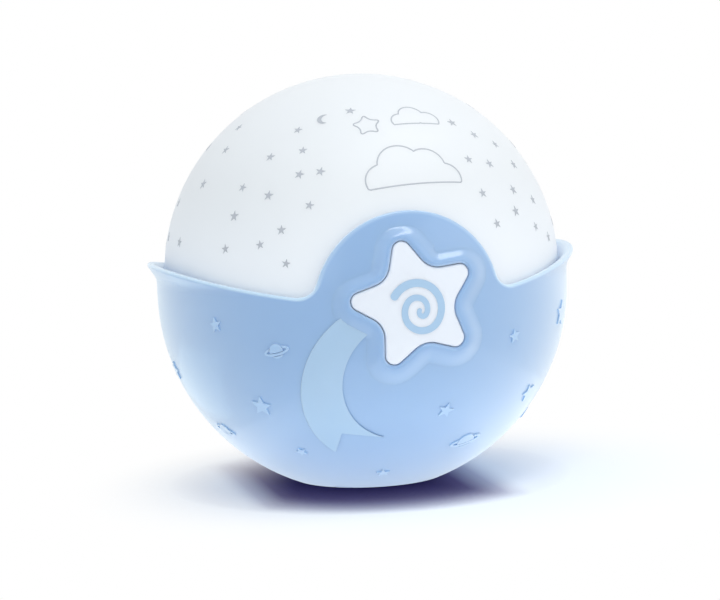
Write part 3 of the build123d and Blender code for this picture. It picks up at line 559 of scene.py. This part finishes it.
def star_outline(arc_steps=10, side_steps=8):
    """Points of the rounded star with the way out of the star at each, in the front view."""
    count = 2 * STAR_POINTS
    corners = []
    for k in range(count):
        a = math.pi / 2 + STAR_TURN + math.pi * k / STAR_POINTS
        r = STAR_VALLEY if k % 2 else STAR_TIP
        corners.append(Vector((r * math.cos(a), r * math.sin(a))))
    bends = []
    for k, corner in enumerate(corners):
        radius, side = (STAR_VALLEY_ROUND, -1) if k % 2 else (STAR_TIP_ROUND, 1)
        back = (corners[k - 1] - corner).normalized()
        ahead = (corners[(k + 1) % count] - corner).normalized()
        half = back.angle(ahead) / 2
        middle = corner + (back + ahead).normalized() * (radius / math.sin(half))
        run = radius / math.tan(half)
        first, last = (corner + way * run - middle for way in (back, ahead))
        bend = []
        for j in range(arc_steps + 1):
            way = first.slerp(last, j / arc_steps).normalized()
            bend.append((middle + way * radius, way * side))
        bends.append(bend)
    outline = []
    for k, bend in enumerate(bends):
        outline.extend(bend)
        (start, way), (end, _) = bend[-1], bends[(k + 1) % count][0]
        outline.extend((start.lerp(end, j / side_steps), way) for j in range(1, side_steps))
    return outline


def roll_profile(way, steps=14):
    """Distances from the hole's edge and heights over the bowl, steeper where the roll faces up."""
    reach = min(ROLL_REACH - ROLL_LEAN * way.y + ROLL_RIGHT * max(way.x, 0.0), ROLL_WIDEST)
    top = ROLL_RISE - ROLL_EASE * (1 - way.y) / 2
    profile = []
    for k in range(steps, 0, -1):
        a = math.pi / 2 * k / steps
        run = ROLL_CREST - (ROLL_CREST + ROLL_INSIDE) * math.sin(a)
        profile.append((run, top - ROLL_DROP * (1 - math.cos(a))))
    for k in range(steps + 1):
        t = k / steps
        run = ROLL_CREST + (reach - ROLL_CREST) * t
        profile.append((run, top * (1 + math.cos(math.pi * t)) / 2 - ROLL_SINK * t))
    return profile


def on_bowl(x, z, rise):
    """Point on the front of the bowl's form: two ball halves with a straight band between."""
    height = z - min(max(z, BOWL_CENTRE[2]), BOWL_CENTRE[2] + BOWL_BAND)
    return Vector((x, -math.sqrt((BOWL_RADIUS + rise) ** 2 - x * x - height * height), z))


def make_roll():
    vertices = []
    outline = star_outline()
    for spot, way in outline:
        profile = roll_profile(way)
        for run, rise in profile:
            u, v = spot + way * (STAR_GAP + run)
            vertices.append(on_bowl(STAR_PLACE[0] + u, BOWL_CENTRE[2] + STAR_PLACE[1] + v, rise))
    faces = band_faces(0, len(outline), len(profile))
    piece("bezel_roll", vertices, faces, shell_blue, "housing")


make_roll()


# Grey print on the dome

DOME_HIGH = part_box("dome_diffuser")[1]
DOME_RADIUS = DOME_HIGH.x
DOME_CENTRE = Vector((0, 0, DOME_HIGH.z - DOME_RADIUS))
INK_LIFT, INK_SINK, INK_SPREAD = 0.07 * MM, 0.08 * MM, 1.06
print_ink = surface(
    "print_ink", linear(182, 186, 194), spread=0.03, rough=0.5, rough_spread=0.04,
    grain=0.25, depth=0.006, cloud=3.0)


class Spot:
    """Flat drawing place on the dome: u to the right and v up, in metres.

    turn is its angle from the front, rise its angle over the dome's middle and spin the
    drawing's own turn, all in degrees.
    """

    def __init__(self, turn, rise, spin):
        a, b, s = math.radians(turn), math.radians(rise), math.radians(spin)
        self.out = Vector((math.sin(a) * math.cos(b), -math.cos(a) * math.cos(b), math.sin(b)))
        right = Vector((math.cos(a), math.sin(a), 0))
        up = self.out.cross(right)
        self.right = right * math.cos(s) + up * math.sin(s)
        self.up = up * math.cos(s) - right * math.sin(s)

    def at(self, u, v, lift):
        run = math.hypot(u, v)
        if run == 0:
            return DOME_CENTRE + self.out * (DOME_RADIUS + lift)
        way = (self.right * u + self.up * v) / run
        bend = run / DOME_RADIUS
        return DOME_CENTRE + (self.out * math.cos(bend) + way * math.sin(bend)) * (DOME_RADIUS + lift)


def star_points(radius, valley_share):
    """Corners of a pointed star, from its top point on."""
    points = []
    for k in range(2 * STAR_POINTS):
        a = math.pi / 2 + math.pi * k / STAR_POINTS
        r = radius * valley_share if k % 2 else radius
        points.append((r * math.cos(a), r * math.sin(a)))
    return points


# Small filled stars

# Turn and rise of each star on the front
STAR_SPOTS = (
    (-38.5, 48.8), (-33.4, 41.2), (-45.8, 39.1), (-32.7, 33.3), (-25.6, 34.1), (-52.9, 29.3), (-42.1, 27.0),
    (-28.1, 24.0), (-53.3, 20.9), (-36.2, 17.1), (-42.6, 13.0), (-54.8, 11.6), (-34.3, 7.9), (-15.8, 56.5),
    (32.3, 48.9), (39.5, 43.6), (48.8, 39.4), (28.1, 35.5), (37.1, 33.4), (52.2, 32.1), (27.9, 24.8),
    (42.9, 24.7), (53.4, 20.8), (40.1, 18.5), (30.1, 15.7), (49.2, 13.2), (57.8, 9.4),
)

# Rise of each row of stars round the back and how many it has
BACK_ROWS = ((13.0, 14), (26.0, 13), (39.0, 11), (52.0, 8))
BACK_START, BACK_STRAY, BACK_SWAY = 66.0, 5.0, 4.0
SMALL_STAR, SMALL_VALLEY_SHARE = (1.55 * MM, 1.95 * MM), 0.38
SMALL_SPIN = 14.0
DICE_SEED = 7


def inked_patch(vertices, faces, spot, outline):
    """Filled outline round its own middle, a touch proud of the dome with sunk edges."""
    first, count = len(vertices), len(outline)
    vertices.append(spot.at(0, 0, INK_LIFT))
    vertices.extend(spot.at(u, v, INK_LIFT) for u, v in outline)
    vertices.extend(spot.at(u * INK_SPREAD, v * INK_SPREAD, -INK_SINK) for u, v in outline)
    for k in range(count):
        a, b = first + 1 + k, first + 1 + (k + 1) % count
        faces.append((first, a, b))
        faces.append((a, a + count, b + count, b))


def make_stars():
    dice = random.Random(DICE_SEED)
    vertices, faces = [], []

    def stamp(turn, rise):
        spot = Spot(turn, rise, dice.uniform(-SMALL_SPIN, SMALL_SPIN))
        inked_patch(vertices, faces, spot, star_points(dice.uniform(*SMALL_STAR), SMALL_VALLEY_SHARE))

    for turn, rise in STAR_SPOTS:
        stamp(turn, rise)
    for rise, count in BACK_ROWS:
        for k in range(count):
            turn = BACK_START + (360 - 2 * BACK_START) * (k + 0.5) / count
            turn += dice.uniform(-BACK_STRAY, BACK_STRAY)
            stamp(turn, rise + dice.uniform(-BACK_SWAY, BACK_SWAY))
    piece("dome_print_stars", vertices, faces, print_ink, "housing", False)


make_stars()


# Small crescent between two arcs, each open to the right

CRESCENT_SPOT = Spot(-28.1, 53.1, 8.0)
CRESCENT_RIM, CRESCENT_OPEN = 2.3 * MM, 62.0
CRESCENT_BITE, BITE_OPEN, BITE_OFF = 2.0 * MM, 98.0, 1.15 * MM


def crescent_arc(middle, radius, start, steps):
    """Points from an angle in degrees above the right round to the same angle below it."""
    points = []
    for k in range(steps + 1):
        a = math.radians(start + (360 - 2 * start) * k / steps)
        points.append((middle + radius * math.cos(a), radius * math.sin(a)))
    return points


def make_crescent(steps=24):
    rim = crescent_arc(0, CRESCENT_RIM, CRESCENT_OPEN, steps)
    bite = crescent_arc(BITE_OFF, CRESCENT_BITE, BITE_OPEN, steps)
    vertices = [CRESCENT_SPOT.at(u, v, INK_LIFT) for u, v in rim + bite]
    count = steps + 1
    faces = [(k, k + 1, count + k + 1, count + k) for k in range(steps)]
    piece("dome_print_crescent", vertices, faces, print_ink, "housing", False)


make_crescent()


# Clouds and a larger star, drawn as lines

# The puffs of a cloud: place to the right of its middle, place above it and radius
BIG_CLOUD_SPOT, BIG_CLOUD_FOOT = Spot(4.5, 32.0, 2.0), -3.4 * MM
BIG_CLOUD_PUFFS = (
    (-9.5 * MM, -1.0 * MM, 6.2 * MM), (-3.0 * MM, 4.0 * MM, 7.6 * MM), (1.5 * MM, -1.0 * MM, 6.0 * MM),
    (6.0 * MM, 3.0 * MM, 6.6 * MM), (12.0 * MM, -1.6 * MM, 5.4 * MM),
)
SMALL_CLOUD_SPOT, SMALL_CLOUD_FOOT = Spot(14.5, 51.5, -4.0), -2.2 * MM
SMALL_CLOUD_PUFFS = (
    (-5.2 * MM, -0.6 * MM, 3.5 * MM), (-0.8 * MM, 2.0 * MM, 4.4 * MM), (4.6 * MM, -0.2 * MM, 3.8 * MM),
)
LINE_STAR_SPOT, LINE_STAR, LINE_VALLEY_SHARE = Spot(-8.5, 50.0, 10.0), 5.2 * MM, 0.5
CORNER_SHARE = 0.25
LINE_WIDTH = 0.52 * MM
LINE_EDGE, LINE_SHOULDER, SHOULDER_LIFT = 0.5 * LINE_WIDTH, 0.4 * LINE_WIDTH, 0.7 * INK_LIFT
LINE_PROFILE = (
    (-LINE_EDGE, -INK_SINK), (-LINE_SHOULDER, SHOULDER_LIFT), (0, INK_LIFT),
    (LINE_SHOULDER, SHOULDER_LIFT), (LINE_EDGE, -INK_SINK),
)


def inked_line(vertices, faces, spot, points):
    """Rounded stroke along a closed outline on the dome."""
    first, count = len(vertices), len(points)
    for k, (u, v) in enumerate(points):
        before, after = points[k - 1], points[(k + 1) % count]
        along = Vector((after[0] - before[0], after[1] - before[1])).normalized()
        for side, lift in LINE_PROFILE:
            vertices.append(spot.at(u - along.y * side, v + along.x * side, lift))
    faces.extend(band_faces(first, count, len(LINE_PROFILE)))


def softened(points, rounds=3):
    """Closed outline with its corners cut to a soft curve."""
    for _ in range(rounds):
        cut = []
        for k, (u, v) in enumerate(points):
            s, t = points[(k + 1) % len(points)]
            for share in (CORNER_SHARE, 1 - CORNER_SHARE):
                cut.append((u + (s - u) * share, v + (t - v) * share))
        points = cut
    return points


def cloud_outline(puffs, foot, steps=220):
    """Outline of a puffy cloud with a flat foot, seen from its own middle."""
    points = []
    for k in range(steps):
        a = 2 * math.pi * k / steps
        c, s = math.cos(a), math.sin(a)
        reach = 0.0
        for x, y, r in puffs:
            along = x * c + y * s
            inside = r * r - (x * x + y * y - along * along)
            if inside > 0:
                reach = max(reach, along + math.sqrt(inside))
        if s < 0:
            reach = min(reach, foot / s)
        points.append((reach * c, reach * s))
    return points


def make_clouds():
    vertices, faces = [], []
    inked_line(vertices, faces, BIG_CLOUD_SPOT, cloud_outline(BIG_CLOUD_PUFFS, BIG_CLOUD_FOOT))
    inked_line(vertices, faces, SMALL_CLOUD_SPOT, cloud_outline(SMALL_CLOUD_PUFFS, SMALL_CLOUD_FOOT))
    inked_line(vertices, faces, LINE_STAR_SPOT, softened(star_points(LINE_STAR, LINE_VALLEY_SHARE)))
    piece("dome_print_clouds", vertices, faces, print_ink, "housing")


make_clouds()
